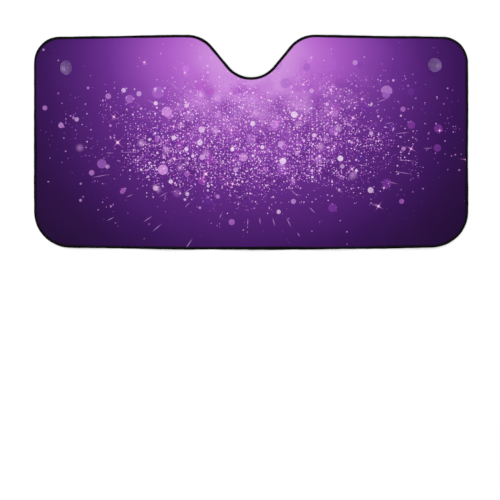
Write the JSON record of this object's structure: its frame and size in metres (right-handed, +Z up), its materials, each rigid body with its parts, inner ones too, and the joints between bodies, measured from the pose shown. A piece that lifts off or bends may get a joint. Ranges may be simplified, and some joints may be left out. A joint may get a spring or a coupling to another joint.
{
  "type": "car sunshade",
  "caption": "Flat foam-cored windscreen sunshade with a mirror notch, a bound edge, a printed front, a foil back and clear suction cups.",
  "frame": {"origin": "on the surface that the shade lies on, under the middle of the sheet", "axes": "+X along the width, +Y towards the mirror notch, +Z up, away from the printed face"},
  "size_m": [1.4, 0.6933, 0.0323],
  "materials": {
    "printed_cloth": "satin woven polyester printed in violet, lilac at the notch and indigo at the sides",
    "white_foam": "soft white closed-cell foam",
    "silver_foil": "embossed silver film",
    "black_tape": "matt ribbed tape",
    "black_thread": "twisted sewing thread",
    "clear_vinyl": "clear soft vinyl"
  },
  "bodies": {
    "root": {"printed_face": "printed_cloth", "foam_core": "white_foam", "foil_back": "silver_foil", "edge_binding": "black_tape", "suction_cup_left": "clear_vinyl", "suction_cup_right": "clear_vinyl"}
  },
  "joints": []
}
